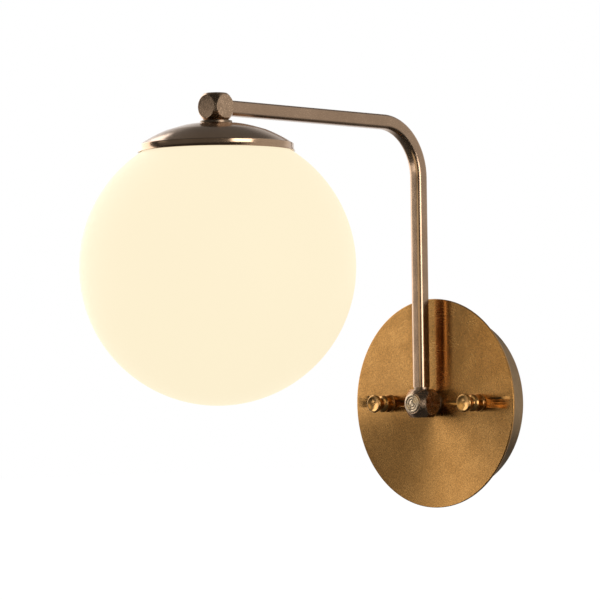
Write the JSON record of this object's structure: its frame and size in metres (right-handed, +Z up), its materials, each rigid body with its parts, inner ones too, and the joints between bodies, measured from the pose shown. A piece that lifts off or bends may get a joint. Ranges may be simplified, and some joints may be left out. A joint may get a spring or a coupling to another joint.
{
  "type": "globe wall sconce",
  "caption": "Brass wall light with a round backplate, a bent square arm and an opal glass globe hung under a domed cap.",
  "frame": {"origin": "where the axis of the round backplate meets the wall, at the middle of the wall bracket's back face", "axes": "+Z up, +Y into the wall, so the light stands out along -Y, and +X to the right as seen from the room"},
  "size_m": [0.15, 0.27, 0.231],
  "materials": {
    "wall_bracket": "zinc plated",
    "mounting_studs": "zinc plated",
    "stud_lock_nuts": "zinc plated",
    "backplate_disc": "satin brushed antique brass",
    "backplate_band": "satin brushed antique brass",
    "thumb_washer_left": "polished",
    "thumb_washer_right": "polished",
    "thumb_nut_left": "polished",
    "thumb_nut_right": "polished",
    "lower_nipple": "threaded",
    "lower_lock_washer": "zinc plated",
    "lower_nipple_nut": "plain",
    "knuckle_washer": "burnished",
    "lower_knuckle": "burnished dark brass",
    "knuckle_plug": "turned",
    "arm_spigot_lower": "brazed in",
    "arm_tube": "burnished dark brass",
    "arm_spigot_upper": "brazed in",
    "upper_knuckle": "burnished dark brass",
    "cap_washer": "burnished",
    "upper_nipple": "threaded",
    "globe_cap": "polished aged brass",
    "globe_gasket": "felt",
    "globe_clip": "spring steel",
    "holder_strap": "zinc plated",
    "upper_lock_washer": "zinc plated",
    "upper_nipple_nut": "plain",
    "holder_screws": "zinc plated",
    "lampholder_body": "glazed",
    "lampholder_contacts": "plain",
    "bulb_base": "matt",
    "bulb_pins": "nickel plated",
    "bulb_capsule": "frosted",
    "bulb_board": "matt",
    "globe": "opal",
    "lamp_wire_live": "silicone",
    "lamp_wire_neutral": "silicone",
    "terminal_block": "moulded",
    "terminal_barrels": "plain",
    "terminal_screws": "zinc plated",
    "block_screw": "zinc plated",
    "earth_screw": "plain",
    "earth_lug": "tinned",
    "earth_wire": "insulated"
  },
  "bodies": {
    "fixture": {"wall_bracket": "wall_bracket", "mounting_studs": "mounting_studs", "stud_lock_nuts": "stud_lock_nuts", "backplate_disc": "backplate_disc", "backplate_band": "backplate_band", "lower_nipple": "lower_nipple", "lower_lock_washer": "lower_lock_washer", "lower_nipple_nut": "lower_nipple_nut", "knuckle_washer": "knuckle_washer", "lower_knuckle": "lower_knuckle", "knuckle_plug": "knuckle_plug", "arm_spigot_lower": "arm_spigot_lower", "arm_tube": "arm_tube", "arm_spigot_upper": "arm_spigot_upper", "upper_knuckle": "upper_knuckle", "cap_washer": "cap_washer", "upper_nipple": "upper_nipple", "globe_cap": "globe_cap", "globe_gasket": "globe_gasket", "globe_clip": "globe_clip", "holder_strap": "holder_strap", "upper_lock_washer": "upper_lock_washer", "upper_nipple_nut": "upper_nipple_nut", "holder_screws": "holder_screws", "lampholder_body": "lampholder_body", "lampholder_contacts": "lampholder_contacts", "lamp_wire_live": "lamp_wire_live", "lamp_wire_neutral": "lamp_wire_neutral", "terminal_block": "terminal_block", "terminal_barrels": "terminal_barrels", "terminal_screws": "terminal_screws", "block_screw": "block_screw", "earth_screw": "earth_screw", "earth_lug": "earth_lug", "earth_wire": "earth_wire"},
    "globe": {"globe": "globe"},
    "bulb": {"bulb_base": "bulb_base", "bulb_pins": "bulb_pins", "bulb_capsule": "bulb_capsule", "bulb_board": "bulb_board"},
    "washer_left": {"thumb_washer_left": "thumb_washer_left"},
    "nut_left": {"thumb_nut_left": "thumb_nut_left"},
    "washer_right": {"thumb_washer_right": "thumb_washer_right"},
    "nut_right": {"thumb_nut_right": "thumb_nut_right"}
  },
  "joints": [
    {"name": "globe_pull_down", "type": "slide", "parent": "fixture", "child": "globe", "axis": [0, 0, -1], "range_m": [0, 0.1]},
    {"name": "bulb_pull_out", "type": "slide", "parent": "fixture", "child": "bulb", "axis": [0, 0, -1], "range_m": [0, 0.012]},
    {"name": "washer_left_travel", "type": "slide", "parent": "fixture", "child": "washer_left", "axis": [0, -1, 0], "range_m": [0, 0.0106]},
    {"name": "nut_left_unscrew", "type": "hinge", "parent": "washer_left", "child": "nut_left", "pos_m": [-0.035, -0.03, 0], "axis": [0, -1, 0], "range_deg": [0, 5400]},
    {"name": "washer_right_travel", "type": "slide", "parent": "fixture", "child": "washer_right", "axis": [0, -1, 0], "range_m": [0, 0.0106]},
    {"name": "nut_right_unscrew", "type": "hinge", "parent": "washer_right", "child": "nut_right", "pos_m": [0.035, -0.03, 0], "axis": [0, -1, 0], "range_deg": [0, 5400]}
  ],
  "couplings": [
    {"joint": "washer_left_travel", "follows": "nut_left_unscrew", "m_per_rad": 0.00011141},
    {"joint": "washer_right_travel", "follows": "nut_right_unscrew", "m_per_rad": 0.00011141}
  ]
}
